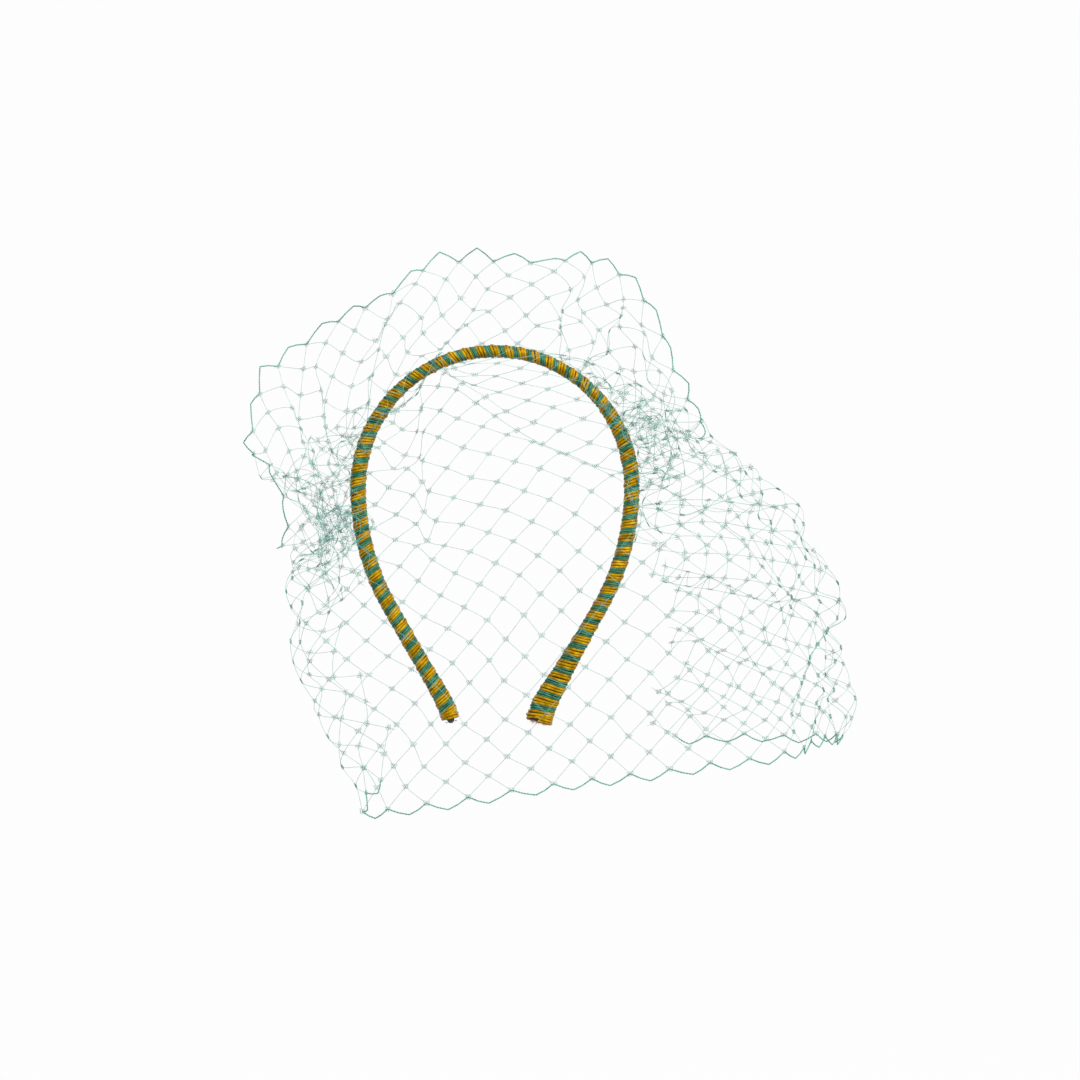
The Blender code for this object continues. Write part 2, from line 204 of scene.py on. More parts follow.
# How far the knots start off the surface, in millimetres, and in waves of what size. The puffs' own share
# grows with the part of the strip that they take.
FALL_CRUMPLE = 0.6
PUFF_CRUMPLE = 2.5
WIDE_PUFF_CRUMPLE = 13
FRILL_CRUMPLE = 2.0
BROAD_WAVES = 32 * MM
FINE_WAVES = 16 * MM

# The settling: its steps, how stiff the net is, and what keeps its knots and threads apart
RELAX_STEPS = 400
STRAIGHT_SPAN = 1.75 * MESH_SIDE
STRAIGHT_STIFFNESS = 0.15
MESH_STIFFNESS = 0.03
KNOT_SPACING = 3.2 * MM
KNOT_SHOVE = 0.25
KNOT_CLEARANCE = 0.5 * MM
THREAD_CLEARANCE = 0.3 * MM

# How much of the way to its goal each kind of knot goes at each step of settling
FALL_HOLD = 0.010
PUFF_HOLD = 0.006
FRILL_HOLD = 0.02
CREASE_HOLD = 0.5
EDGE_HOLD = 0.4
NEXT_TO_EDGE_HOLD = 0.1
SEAM_HOLD = 0.6
END_HOLD = 0.05

# The floor's height and reach, the share of it that is flat, how steeply the rest sweeps up and how
# brightly it shines, and the point that the lamps shine at
FLOOR_HEIGHT = -0.40
FLOOR_RADIUS = 3.0
FLOOR_FLAT_SHARE = 0.5
FLOOR_SWEEP = 14.0
FLOOR_GLOW = 0.97
LIGHT_AIM = Vector((0.0, 0.0, -0.07))


def smooth_step(share):
    """From 0 to 1 as the share does, but level at both ends and beyond them."""
    share = np.clip(share, 0.0, 1.0)
    return share * share * (3 - 2 * share)


def colour(red, green, blue):
    """A shader colour from the 0 to 255 values that a screen shows."""
    values = [channel / 255 for channel in (red, green, blue)]
    return tuple(v / 12.92 if v <= 0.04045 else ((v + 0.055) / 1.055) ** 2.4 for v in values) + (1.0,)


# The band's path

def band_place(run):
    """Centre, outward, along and depth directions at a signed run from the crown's middle."""
    side = 1.0 if run >= 0 else -1.0
    left = abs(run)
    x, z, lean = 0.0, BAND_THICKNESS / 2, 0.0
    for index, (radius, length) in enumerate(BAND_ARCS):
        step = left if index == len(BAND_ARCS) - 1 else min(left, length)
        if math.isinf(radius):
            x += math.cos(lean) * step
            z -= math.sin(lean) * step
        else:
            turned = lean + step / radius
            x += radius * (math.sin(turned) - math.sin(lean))
            z += radius * (math.cos(turned) - math.cos(lean))
            lean = turned
        left -= step
        if left <= 0:
            break
    centre = np.array((side * x, 0.0, z))
    outward = np.array((side * math.sin(lean), 0.0, math.cos(lean)))
    along = np.array((math.cos(lean), 0.0, -side * math.sin(lean)))
    twist = RIGHT_TWIST if run >= 0 else LEFT_TWIST
    angle = twist * smooth_step((abs(run) - HALF_BAND + TWIST_REACH) / TWIST_REACH)
    turned_out = math.cos(angle) * outward + math.sin(angle) * DEPTH
    turned_depth = math.cos(angle) * DEPTH - math.sin(angle) * outward
    return centre, turned_out, along, turned_depth


BAND_RUNS = np.linspace(-HALF_BAND, HALF_BAND, 1001)
BAND_PLACES = np.array([band_place(run) for run in BAND_RUNS])


def band_places(runs):
    """The same four, each as rows, for many runs at once."""
    shares = np.clip((np.asarray(runs) + HALF_BAND) / (2 * HALF_BAND), 0, 1) * (len(BAND_RUNS) - 1)
    low = np.minimum(shares.astype(int), len(BAND_RUNS) - 2)
    part = (shares - low)[:, None, None]
    mixed = BAND_PLACES[low] * (1 - part) + BAND_PLACES[low + 1] * part
    return mixed[:, 0], mixed[:, 1], mixed[:, 2], mixed[:, 3]


def clear_band(points, clearance):
    """Points inside the part's windings, pushed out of them to this clearance."""
    centres, outwards, depths = BAND_PLACES[::2, 0], BAND_PLACES[::2, 1], BAND_PLACES[::2, 3]
    away = ((points[:, None, ::2] - centres[None, :, ::2]) ** 2).sum(-1)
    nearest = away.argmin(1)
    offset = points - centres[nearest]
    rise = (offset * outwards[nearest]).sum(1)
    reach = (offset * depths[nearest]).sum(1)
    half_rise = BAND_THICKNESS / 2 + clearance
    half_reach = BAND_WIDTH / 2 + clearance
    share = np.maximum(np.hypot(rise / half_rise, reach / half_reach), 1e-3)
    inner = (share < 1) & (nearest > 0) & (nearest < len(centres) - 1)
    push = (1 / share - 1)[:, None] * (outwards[nearest] * rise[:, None] + depths[nearest] * reach[:, None])
    return points + np.where(inner[:, None], push, 0.0)


# The veil's surface

@functools.lru_cache(maxsize=None)
def section_curve(name):
    """Places of the sections, a column's values there, and its slopes."""
    places = np.array([row[0] for row in SECTIONS])
    values = np.array([row[SECTION_NAMES.index(name)] for row in SECTIONS])
    return places, values, np.gradient(values, places)


def section_value(name, at):
    """A column of the section table at any place along the strip, on a smooth curve through its rows."""
    places, values, slopes = section_curve(name)
    row = int(np.searchsorted(places[1:-1], at))
    span = places[row + 1] - places[row]
    share = (at - places[row]) / span
    rise = share * share * (3 - 2 * share)
    leave = share * (1 - share) ** 2 * slopes[row]
    arrive = share * share * (share - 1) * slopes[row + 1]
    return values[row] * (1 - rise) + values[row + 1] * rise + span * (leave + arrive)


def seam_point(run, degrees):
    """Where the net lies on the windings."""
    centre, outward, _, depth = band_place(run)
    angle = math.radians(degrees)
    rise = math.cos(angle) * (BAND_THICKNESS / 2 + SEAM_LIFT)
    reach = math.sin(angle) * (BAND_WIDTH / 2 + SEAM_LIFT)
    return centre + outward * rise + depth * reach


def seam_share(at):
    """Share of the strip below the frill's seam: more at the crown."""
    return SEAM_SHARE + (CROWN_SEAM_SHARE - SEAM_SHARE) * math.exp(-(((at - 0.5) / 0.12) ** 4))


def fold_height(at, across):
    """How far the folds push a place of the veil out."""
    total = 0.0
    for fold_at, fold_across, half_at, half_across, lean, height in FOLDS:
        away = (at - fold_at - lean * (across - fold_across)) / half_at
        along = (across - fold_across) / half_across
        total += height * math.exp(-away * away - along * along)
    return total * FRILL_WIDTH


def veil_point(at, across):
    """A point of the veil: at runs along the strip, across from its hem to its frill."""
    row = {name: section_value(name, at) for name in SECTION_NAMES[1:]}
    fall, seam = row["fall"], seam_share(at)
    if across < fall:
        run = row["run"] * HALF_BAND
        outward = band_place(run)[1]
        lower_seam = seam_point(run, row["seam"])
        share = across / fall
        bulge = math.sin(math.pi * max(share, 0.0) ** BULGE_RISE) ** 2
        hem_reach = FRONT_REACH if row["hem_y"] < 0 else BACK_REACH
        hem = np.array((row["hem_x"] * SIDE_REACH, row["hem_y"] * hem_reach, -row["hem_z"] * HEM_DROP))
        sideways = np.array((hem[0] - PLAN_MIDDLE * SIDE_REACH, 1.5 * hem[1], 0.0))
        sideways = sideways / np.linalg.norm(sideways)
        length = np.linalg.norm(hem - lower_seam)
        leave = LEAVE_OUT * outward + np.array((LEAVE_SIDE * sideways[0], -LEAVE_FRONT, -LEAVE_DOWN))
        upper = lower_seam + length * leave
        lower = hem + np.array((0.0, 0.0, HANG * length))
        rest = 1 - share
        point = rest**3 * hem + 3 * rest**2 * share * lower
        point = point + 3 * rest * share**2 * upper + share**3 * lower_seam
        point = point + sideways * bulge * (row["bow"] * SIDE_REACH + fold_height(at, across))
    elif across < seam:
        share = (across - fall) / (seam - fall)
        run = (row["run"] + (row["top"] - row["run"]) * share) * HALF_BAND
        outward = band_place(run)[1]
        height = row["puff"] * (seam - fall) * STRIP_WIDTH
        point = seam_point(run, row["seam"] + (row["top_seam"] - row["seam"]) * share)
        point = point + (PUFF_OUT * outward + PUFF_BACK * DEPTH) * height * math.sin(math.pi * share)
    else:
        share = (across - seam) / (1 - seam)
        run = row["top"] * HALF_BAND
        outward, along = band_place(run)[1:3]
        lean = row["out"] * outward + row["slip"] * along + row["back"] * DEPTH
        point = seam_point(run, row["top_seam"]) + lean * FRILL_WIDTH * share
        point = point - DEPTH * fold_height(at, across) * min(share * 1.5, 1.0)
    return point


# The net: its knots start on that surface, and settle until nearly every side has its real length

def wave_noise(points, random, size, count=24):
    """Smooth random offsets about 1 long, in waves of about this size."""
    total = np.zeros_like(points)
    for _ in range(count):
        wave = random.normal(size=3)
        wave *= 2 * math.pi / size / np.linalg.norm(wave) * random.uniform(0.7, 1.6)
        way = random.normal(size=3)
        total += np.sin(points @ wave + random.uniform(0, 2 * math.pi))[:, None] * way
    return total / math.sqrt(count)


def in_depth(across, up, depth):
    """A place seen in the band's plane, moved along the line of sight to a depth."""
    share = (depth + CAMERA_DISTANCE) / CAMERA_DISTANCE
    return np.array((AIM_X + (across - AIM_X) * share, depth, AIM_Z + (up - AIM_Z) * share))


def as_seen(points):
    """Where points are seen in the band's plane, across and up."""
    share = (CAMERA_DISTANCE / (points[:, 1] + CAMERA_DISTANCE))[:, None]
    return (points[:, ::2] - (AIM_X, AIM_Z)) * share + (AIM_X, AIM_Z)


def net_lattice():
    """Column and row of each knot, with its places along and across the strip."""
    keys = []
    for row in range(HALF_ROWS + 1):
        across = row / HALF_ROWS
        for column in range(-60, 120):
            at = (column / 2 + SLANT * across - 0.25) / TEETH
            if (column + row) % 2 == 0 and -1e-9 <= at <= 1 + 1e-9:
                keys.append((column, row, at, across))
    index = {(column, row): number for number, (column, row, at, across) in enumerate(keys)}
    return index, np.array([key[2] for key in keys]), np.array([key[3] for key in keys])


def knot_pairs(index, step_column, step_row, parity=None):
    """Pairs of knots so many columns and rows apart, from every row or only the even or odd ones."""
    pairs = []
    for (column, row), number in index.items():
        other = index.get((column + step_column, row + step_row))
        if other is not None and parity in (None, row % 2):
            pairs.append((number, other))
    return np.array(pairs)


def pull(places, pairs, rest, stiffness, only_short=False):
    """Offsets that bring each pair towards its rest length."""
    first, second = pairs[:, 0], pairs[:, 1]
    gap = places[second] - places[first]
    length = np.linalg.norm(gap, axis=1) + 1e-9
    error = length - rest
    if only_short:
        error = np.minimum(error, 0)
    step = (stiffness * 0.5 * error / length)[:, None] * gap
    total = np.zeros_like(places)
    np.add.at(total, first, step)
    np.add.at(total, second, -step)
    return total


def edge_goals(at, row):
    """Places along the strip and offsets that bring the surface's edge to the photograph's."""
    offsets = []
    if row == 0:
        places = (np.arange(len(HEM_KNOTS)) + 0.75) / TEETH
        for place, (x, z) in zip(places, HEM_KNOTS):
            old = veil_point(place, 0.0)
            offsets.append(in_depth(x * MM, z * MM, old[1]) - old)
    else:
        places = (np.arange(len(FRILL_TEETH) - 1) + 0.75) / TEETH
        for place, first, second in zip(places, FRILL_TEETH[:-1], FRILL_TEETH[1:]):
            old, root = veil_point(place, 1.0), veil_point(place, seam_share(place))
            edge = in_depth((first[0] + second[0]) / 2 * MM, (first[1] + second[1]) / 2 * MM, old[1])
            inward = (root - edge) / np.linalg.norm(root - edge)
            offsets.append(edge + inward * TOOTH_DEPTH - old)
    offsets = np.array(offsets)
    return np.stack([np.interp(at, places, offsets[:, axis]) for axis in range(3)], -1)


def gather_creases(index, points, at, across, fall):
    """Points of the hanging net drawn in towards its creases, and how firmly."""
    points = points.copy()
    firm = np.zeros(len(points))
    knots = np.array(list(index))
    for first, last, half, share, height, step, *line in CREASES:
        line = np.array(line, dtype=float) * MM
        seen = as_seen(points)
        nearest = np.full(len(points), 1e9)
        foot = np.zeros_like(seen)
        for a, b in zip(line[:-1], line[1:]):
            along = np.clip(((seen - a) @ (b - a)) / ((b - a) @ (b - a)), 0, 1)
            place = a + along[:, None] * (b - a)
            away = np.linalg.norm(seen - place, axis=1)
            foot = np.where((away < nearest)[:, None], place, foot)
            nearest = np.minimum(nearest, away)
        belongs = np.clip((at - first) / 0.02, 0, 1) * np.clip((last - at) / 0.02, 0, 1)
        belongs = belongs * np.clip((fall + 0.02 - across) / 0.02, 0, 1)
        weight = belongs / (1 + (nearest / (half * MM)) ** 6)
        shift = (foot - seen) * (share * weight)[:, None]
        points[:, 0] += shift[:, 0]
        points[:, 2] += shift[:, 1]
        pleat = (knots @ np.array(step)) // sum(step) % 2 * 2 - 1
        points[:, 1] += height * MM * weight * pleat
        firm = np.maximum(firm, weight)
    return points, firm


def settle_net(index, at, across):
    """Where the knots come to lie: near the surface, with nearly every side at its real length."""
    start = np.array([veil_point(a, b) for a, b in zip(at, across)])
    rows = np.array([row for _, row in index])
    fall = np.array([section_value("fall", a) for a in at])
    upper = np.array([seam_share(a) for a in at])
    frill_share = np.clip((across - upper) / (1 - upper), 0, 1)
    start += edge_goals(at, HALF_ROWS) * frill_share[:, None]
    start += edge_goals(at, 0) * (np.clip(1 - across / fall, 0, 1) ** 1.5)[:, None]
    start, firm = gather_creases(index, start, at, across, fall)
    random = np.random.default_rng(SEED)
    in_puff = np.clip((across - fall) / 0.03 + 0.5, 0, 1) * np.clip((upper - across) / 0.03 + 0.5, 0, 1)
    in_frill = np.clip((across - upper) / 0.04, 0, 1) * np.clip((1.02 - across) / 0.1, 0, 1)
    in_fall = 1 - np.clip((across - fall) / 0.03 + 1, 0, 1)
    puffs = PUFF_CRUMPLE + WIDE_PUFF_CRUMPLE * (upper - fall)
    crumple = (FALL_CRUMPLE * in_fall + in_puff * puffs + FRILL_CRUMPLE * in_frill) * MM
    broad = wave_noise(start, random, BROAD_WAVES)
    fine = wave_noise(start, random, FINE_WAVES)
    places = start + crumple[:, None] * (broad * 0.7 + fine * 0.6)
    goal = start + crumple[:, None] * broad * 0.7
    hold = FALL_HOLD * in_fall + PUFF_HOLD * in_puff + FRILL_HOLD * np.clip((across - upper) / 0.04, 0, 1)
    hold = np.where((rows == 0) | (rows == HALF_ROWS), EDGE_HOLD, hold)
    hold = np.where((rows == 1) | (rows == HALF_ROWS - 1), NEXT_TO_EDGE_HOLD, hold)
    half = 0.55 / HALF_ROWS
    seam = (np.abs(across - fall) < half) | (np.abs(across - upper) < half)
    hold = np.where(seam, SEAM_HOLD, hold)
    hold = np.where((at < 0.03) | (at > 0.97), np.maximum(hold, END_HOLD), hold)
    goal = np.where(seam[:, None], start, goal)
    sides = [knot_pairs(index, step, 1, parity) for step in (1, -1) for parity in (0, 1)]
    straights = [knot_pairs(index, 2, 2), knot_pairs(index, -2, 2)]
    wide, tall = knot_pairs(index, 2, 0), knot_pairs(index, 0, 2)
    holds = np.repeat(hold[:, None], 3, axis=1)
    holds[:, ::2] = np.maximum(holds[:, ::2], CREASE_HOLD * firm[:, None])
    for step in range(RELAX_STEPS):
        places += holds * (goal - places)
        for pairs in straights:
            ease = 1 - np.maximum(firm[pairs[:, 0]], firm[pairs[:, 1]])
            places += pull(places, pairs, STRAIGHT_SPAN, STRAIGHT_STIFFNESS * ease, only_short=True)
        places += (pull(places, wide, MESH_WIDTH, MESH_STIFFNESS)
                   + pull(places, tall, MESH_HEIGHT, MESH_STIFFNESS))
        for _ in range(3):
            for pairs in sides:
                first, second = pairs[:, 0], pairs[:, 1]
                gap = places[second] - places[first]
                length = np.linalg.norm(gap, axis=1) + 1e-9
                share = np.where(length > MESH_SIDE, 1.0, 0.5) * 0.5 * (length - MESH_SIDE) / length
                places[first] += share[:, None] * gap
                places[second] -= share[:, None] * gap
        if step % 10 == 9:
            gaps = places[:, None] - places[None]
            apart = np.sqrt((gaps**2).sum(-1))
            np.fill_diagonal(apart, 1)
            shove = np.where(apart < KNOT_SPACING, (KNOT_SPACING - apart) / apart * KNOT_SHOVE, 0)
            places += (gaps * shove[..., None]).sum(1)
        if step % 3 == 0:
            places = clear_band(places, KNOT_CLEARANCE)
    return clear_band(places, KNOT_CLEARANCE)


def knot_frames(index, places):
    """Directions at each knot: wide along the strip, tall across it towards the frill, and out of it."""
    wide, tall = np.zeros_like(places), np.zeros_like(places)
    for (column, row), number in index.items():
        for step_column, step_row in ((1, 1), (1, -1), (-1, 1), (-1, -1)):
            other = index.get((column + step_column, row + step_row))
            if other is not None:
                gap = places[other] - places[number]
                wide[number] += gap * step_column
                tall[number] += gap * step_row
    tall /= np.linalg.norm(tall, axis=1, keepdims=True) + 1e-9
    wide -= tall * (wide * tall).sum(1, keepdims=True)
    wide /= np.linalg.norm(wide, axis=1, keepdims=True) + 1e-9
    return wide, tall, np.cross(wide, tall)


# Mesh making

def make_piece(name, points, faces, maps, material, slot):
    """A mesh on the part's one body, with its texture places and its material; the slot is not used."""
    mesh = bpy.data.meshes.new(name)
    mesh.from_pydata(np.asarray(points).tolist(), [], faces.tolist())
    layer = mesh.uv_layers.new(name="lay")
    loops = np.empty(len(mesh.loops), dtype=np.int32)
    mesh.loops.foreach_get("vertex_index", loops)
    layer.data.foreach_set("uv", np.asarray(maps, dtype=np.float32)[loops].ravel())
    mesh.polygons.foreach_set("use_smooth", np.full(len(mesh.polygons), True))
    mesh.materials.append(material)
    mesh.update()
    piece = bpy.data.objects.new(name, mesh)
    bpy.context.scene.collection.objects.link(piece)
    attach(piece, "root")
    return piece


def tube_faces(rings, sides):
    """Faces between rings of points that follow each other."""
    ring, side = np.meshgrid(np.arange(rings - 1), np.arange(sides), indexing="ij")
    low = ring * sides + side
    low_next = ring * sides + (side + 1) % sides
    return np.stack((low, low_next, low_next + sides, low + sides), -1).reshape(-1, 4)


def line_frames(points):
    """Two directions square to a line at each of its points, carried along it without twist."""
    tangents = np.gradient(points, axis=0)
    tangents /= np.linalg.norm(tangents, axis=1, keepdims=True) + 1e-12
    normal = np.cross(tangents[0], (0.31, -0.9, 0.27))
    normals = []
    for tangent in tangents:
        normal = normal - tangent * (normal @ tangent)
        normal = normal / (np.linalg.norm(normal) + 1e-12)
        normals.append(normal)
    normals = np.array(normals)
    return normals, np.cross(tangents, normals)


def tube(points, radius, sides):
    """Rings of a round tube along a line, drawn in to a point at its ends."""
    points = np.asarray(points)
    normals, others = line_frames(points)
    radii = np.broadcast_to(np.asarray(radius, dtype=float), (len(points),)).copy()
    radii[0] *= 0.35
    radii[-1] *= 0.35
    turns = 2 * math.pi * np.arange(sides) / sides
    ring = normals[:, None] * np.cos(turns)[None, :, None] + others[:, None] * np.sin(turns)[None, :, None]
    rings = points[:, None] + ring * radii[:, None, None]
    lengths = np.concatenate(([0], np.cumsum(np.linalg.norm(np.diff(points, axis=0), axis=1))))
    maps = np.stack(np.broadcast_arrays(lengths[:, None], np.arange(sides)[None] / sides), -1)
    return rings.reshape(-1, 3), tube_faces(len(points), sides), maps.reshape(-1, 2)


def join_tubes(tubes):
    """Several tubes as one mesh, each with its own stretch of the texture."""
    points, faces, maps, count = [], [], [], 0
    for tube_points, tube_face_rows, tube_maps in tubes:
        points.append(tube_points)
        faces.append(tube_face_rows + count)
        maps.append(tube_maps + (0.37 * len(points), 0))
        count += len(tube_points)
    return np.concatenate(points), np.concatenate(faces), np.concatenate(maps)


# Materials

def new_material(name, roughness, specular, sheen=0.0):
    material = bpy.data.materials.new(name)
    material.use_nodes = True
    shader = material.node_tree.nodes["Principled BSDF"]
    shader.inputs["Roughness"].default_value = roughness
    shader.inputs["Specular IOR Level"].default_value = specular
    shader.inputs["Sheen Weight"].default_value = sheen
    return material, material.node_tree, shader


def add_node(tree, kind, **settings):
    """A node with these settings or input values."""
    node = tree.nodes.new(kind)
    for key, value in settings.items():
        if hasattr(node, key):
            setattr(node, key, value)
        else:
            node.inputs[key.replace("_", " ").title()].default_value = value
    return node


def calculate(tree, operation, *values):
    """A sum or product of these numbers and node outputs."""
    node = add_node(tree, "ShaderNodeMath", operation=operation)
    for socket, value in zip(node.inputs, values):
        if isinstance(value, float):
            socket.default_value = value
        else:
            tree.links.new(value, socket)
    return node.outputs[0]


def stretched_noise(tree, source, scale, strength, detail=4.0):
    """Noise on a coordinate that is scaled differently along its axes."""
    mapping = add_node(tree, "ShaderNodeMapping")
    mapping.inputs["Scale"].default_value = scale
    tree.links.new(source, mapping.inputs["Vector"])
    noise = add_node(tree, "ShaderNodeTexNoise")
    noise.inputs["Scale"].default_value = strength
    noise.inputs["Detail"].default_value = detail
    noise.inputs["Roughness"].default_value = 0.6
    tree.links.new(mapping.outputs["Vector"], noise.inputs["Vector"])
    return noise.outputs["Fac"]


def colour_ramp(tree, factor, stops):
    ramp = add_node(tree, "ShaderNodeValToRGB")
    while len(ramp.color_ramp.elements) < len(stops):
        ramp.color_ramp.elements.new(0.5)
    for element, (place, shade) in zip(ramp.color_ramp.elements, stops):
        element.position = place
        element.color = shade
    tree.links.new(factor, ramp.inputs["Fac"])
    return ramp.outputs["Color"]


def bump(tree, shader, height, distance, strength):
    node = add_node(tree, "ShaderNodeBump")
    node.inputs["Strength"].default_value = strength
    node.inputs["Distance"].default_value = distance
    tree.links.new(height, node.inputs["Height"])
    tree.links.new(node.outputs["Normal"], shader.inputs["Normal"])


def floss_material(name, dark, middle, light, roughness):
    """Satin floss: fine filaments along each strand, slow changes of tone, and painted shade on the sides
    of each strand, in the grooves between.
    """
    material, tree, shader = new_material(name, roughness, 0.45)
    shader.inputs["Specular Tint"].default_value = light
    lay = add_node(tree, "ShaderNodeUVMap", uv_map="lay").outputs["UV"]
    filaments = stretched_noise(tree, lay, (420.0, 26.0, 1.0), 1.0)
    slow = stretched_noise(tree, add_node(tree, "ShaderNodeTexCoord").outputs["Object"],
                           (1.0, 1.0, 1.0), 260.0, 2.0)
    mixed = calculate(tree, "MULTIPLY_ADD", filaments, 0.6, calculate(tree, "MULTIPLY", slow, 0.4))
    split = add_node(tree, "ShaderNodeSeparateXYZ")
    tree.links.new(lay, split.inputs[0])
    # Painted shade: the sides of each strand, in the grooves between strands, are darkened in its colour,
    # and its top is left lighter.
    painted_side_shade = calculate(tree, "MULTIPLY_ADD", split.outputs["Y"], 0.6, -0.52)
    with_painted_side_shade = calculate(tree, "ADD", mixed, painted_side_shade)
    shade = colour_ramp(tree, with_painted_side_shade, ((0.3, dark), (0.5, middle), (0.68, light)))
    tree.links.new(shade, shader.inputs["Base Color"])
    bump(tree, shader, filaments, 0.00012, 0.55)
    return material


def thread_material(name, dark, light, roughness, twists):
    """A thin twisted thread: its shade wanders, and its two plies show as slanting grooves."""
    material, tree, shader = new_material(name, roughness, 0.45, 0.2)
    lay = add_node(tree, "ShaderNodeUVMap", uv_map="lay").outputs["UV"]
    where = add_node(tree, "ShaderNodeTexCoord").outputs["Object"]
    slow = stretched_noise(tree, where, (1.0, 1.0, 1.0), 220.0, 3.0)
    shade = colour_ramp(tree, slow, ((0.35, dark), (0.65, light)))
    tree.links.new(shade, shader.inputs["Base Color"])
    wave = add_node(tree, "ShaderNodeTexWave", wave_type="BANDS", bands_direction="DIAGONAL")
    mapping = add_node(tree, "ShaderNodeMapping")
    mapping.inputs["Scale"].default_value = (twists, 1.0, 1.0)
    tree.links.new(lay, mapping.inputs["Vector"])
    tree.links.new(mapping.outputs["Vector"], wave.inputs["Vector"])
    wave.inputs["Scale"].default_value = 1.0
    wave.inputs["Distortion"].default_value = 0.6
    bump(tree, shader, wave.outputs["Fac"], 0.00006, 0.5)
    return material


def fibre_material(name, dark, light, roughness):
    """Matted or loose fibres."""
    material, tree, shader = new_material(name, roughness, 0.25, 0.3)
    where = add_node(tree, "ShaderNodeTexCoord").outputs["Object"]
    grain = stretched_noise(tree, where, (1.0, 1.0, 1.0), 2400.0, 5.0)
    shade = colour_ramp(tree, grain, ((0.35, dark), (0.65, light)))
    tree.links.new(shade, shader.inputs["Base Color"])
    bump(tree, shader, grain, 0.0002, 0.8)
    return material


# The net's threads, knots and edges

def span_line(points, length, steps):
    """A smooth line through knots, bowed where a span has slack."""
    slopes = np.gradient(points, axis=0)
    slopes[0], slopes[-1] = points[1] - points[0], points[-1] - points[-2]
    size = np.linalg.norm(slopes, axis=1, keepdims=True) + 1e-9
    slopes = slopes / size * np.maximum(size, length * 0.95)
    share = (np.arange(steps) / steps)[None, :, None]
    first, second = points[:-1, None], points[1:, None]
    leave, arrive = slopes[:-1, None], slopes[1:, None]
    line = (2 * share**3 - 3 * share**2 + 1) * first + (share**3 - 2 * share**2 + share) * leave
    line = line + (3 * share**2 - 2 * share**3) * second + (share**3 - share**2) * arrive
    return np.concatenate((line.reshape(-1, 3), points[-1:]))


def net_threads(index, places, random):
    """Both ways of the net's threads, each from one cut end or edge to the other."""
    tubes = []
    for way in (1, -1):
        for (column, row), number in index.items():
            if (column - way, row - 1) in index:
                continue
            line, key = [number], (column + way, row + 1)
            while key in index:
                line.append(index[key])
                key = (key[0] + way, key[1] + 1)
            if len(line) < 2:
                continue
            knots = places[line]
            points = span_line(knots, MESH_SIDE, SPAN_STEPS)
            if row > 0:
                points = np.concatenate((cut_stub(knots[0], knots[0] - knots[1], random), points))
            if key[1] - 1 < HALF_ROWS:
                stub = cut_stub(knots[-1], knots[-1] - knots[-2], random)
                points = np.concatenate((points, stub[::-1]))
            tubes.append(tube(clear_band(points, THREAD_CLEARANCE), THREAD_RADIUS, 4))
    return tubes


def cut_stub(knot, way, random):
    """A thread's cut tail, from its end back to the knot."""
    way = way / np.linalg.norm(way) + random.normal(size=3) * 0.3
    length = random.uniform(1.5, 3.5) * MM
    return np.array([knot + way * length, knot + way * length * 0.5])


def coil_template():
    """A knot's flat coil, one unit wide, tall and deep: upright in front, slanting behind."""
    count = int(KNOT_TURNS * POINTS_A_TURN)
    angle = 2 * math.pi * (np.arange(count + 1) / POINTS_A_TURN)
    across = np.linspace(-0.5, 0.5, count + 1)
    step_hold = np.sin(angle) * 0.32 / KNOT_TURNS
    height = np.clip(np.sin(angle) * 1.25, -1, 1) * 0.5
    depth = np.cos(angle) * 0.5
    across = across + np.where(depth < 0, step_hold * 0.2, -step_hold * 0.5)
    return np.stack((across, height, depth), -1)


def net_knots(places, frames, random):
    """A small coil of thread at each knot, each of a slightly different size and lean."""
    wide, tall, out = frames
    template = coil_template()
    tubes = []
    for number, place in enumerate(places):
        size = np.array((KNOT_WIDTH, KNOT_HEIGHT, KNOT_DEPTH)) * random.uniform(0.88, 1.12, 3)
        lean = random.uniform(-0.25, 0.25)
        right = wide[number] + tall[number] * lean
        up = tall[number] - wide[number] * lean
        basis = np.array((right, up, out[number]))
        points = place + (template * size) @ basis
        tubes.append(tube(points, THREAD_RADIUS * 0.95, 3))
    return tubes


def edge_path(index, places, row, random):
    """The net's corded edge: out to a tooth between each two edge knots, and back."""
    keys = sorted(key for key in index if key[1] == row)
    knots = places[[index[key] for key in keys]]
    points = []
    for number, (a, b) in enumerate(zip(knots[:-1], knots[1:])):
        middle = (a + b) / 2
        if row == 0:
            inner = index.get((keys[number][0] + 1, 1))
            outwards = middle - places[inner]
            outwards -= (b - a) * (outwards @ (b - a)) / ((b - a) @ (b - a))
            tip = middle + (b - a) * random.uniform(-0.08, 0.08)
            tip = tip + outwards / np.linalg.norm(outwards) * TOOTH_DEPTH * random.uniform(0.9, 1.1)
        else:
            across, up = FRILL_TEETH[number + 1]
            tip = in_depth(across * MM, up * MM, middle[1])
        bow = tip - middle
        bow *= 0.4 * MM / np.linalg.norm(bow)
        points += [a, (a + tip) / 2 + bow, tip, (b + tip) / 2 + bow]
    points.append(knots[-1])
    if row:
        across, up = FRILL_TEETH[0]
        points.insert(0, in_depth(across * MM, up * MM, knots[0][1]))
    return np.array(points)


def twisted_plies(path, ply_count, ply_radius, lay_radius, twist_length, step):
    """Plies wound round a path of straight stretches."""
    lengths = np.concatenate(([0], np.cumsum(np.linalg.norm(np.diff(path, axis=0), axis=1))))
    places = np.arange(0, lengths[-1], step)
    line = np.stack([np.interp(places, lengths, path[:, axis]) for axis in range(3)], -1)
    normals, others = line_frames(line)
    tubes = []
    for ply in range(ply_count):
        angle = 2 * math.pi * (places / twist_length + ply / ply_count)
        offset = normals * np.cos(angle)[:, None] + others * np.sin(angle)[:, None]
        tubes.append(tube(line + offset * lay_radius, ply_radius, 5))
    return tubes


# The windings

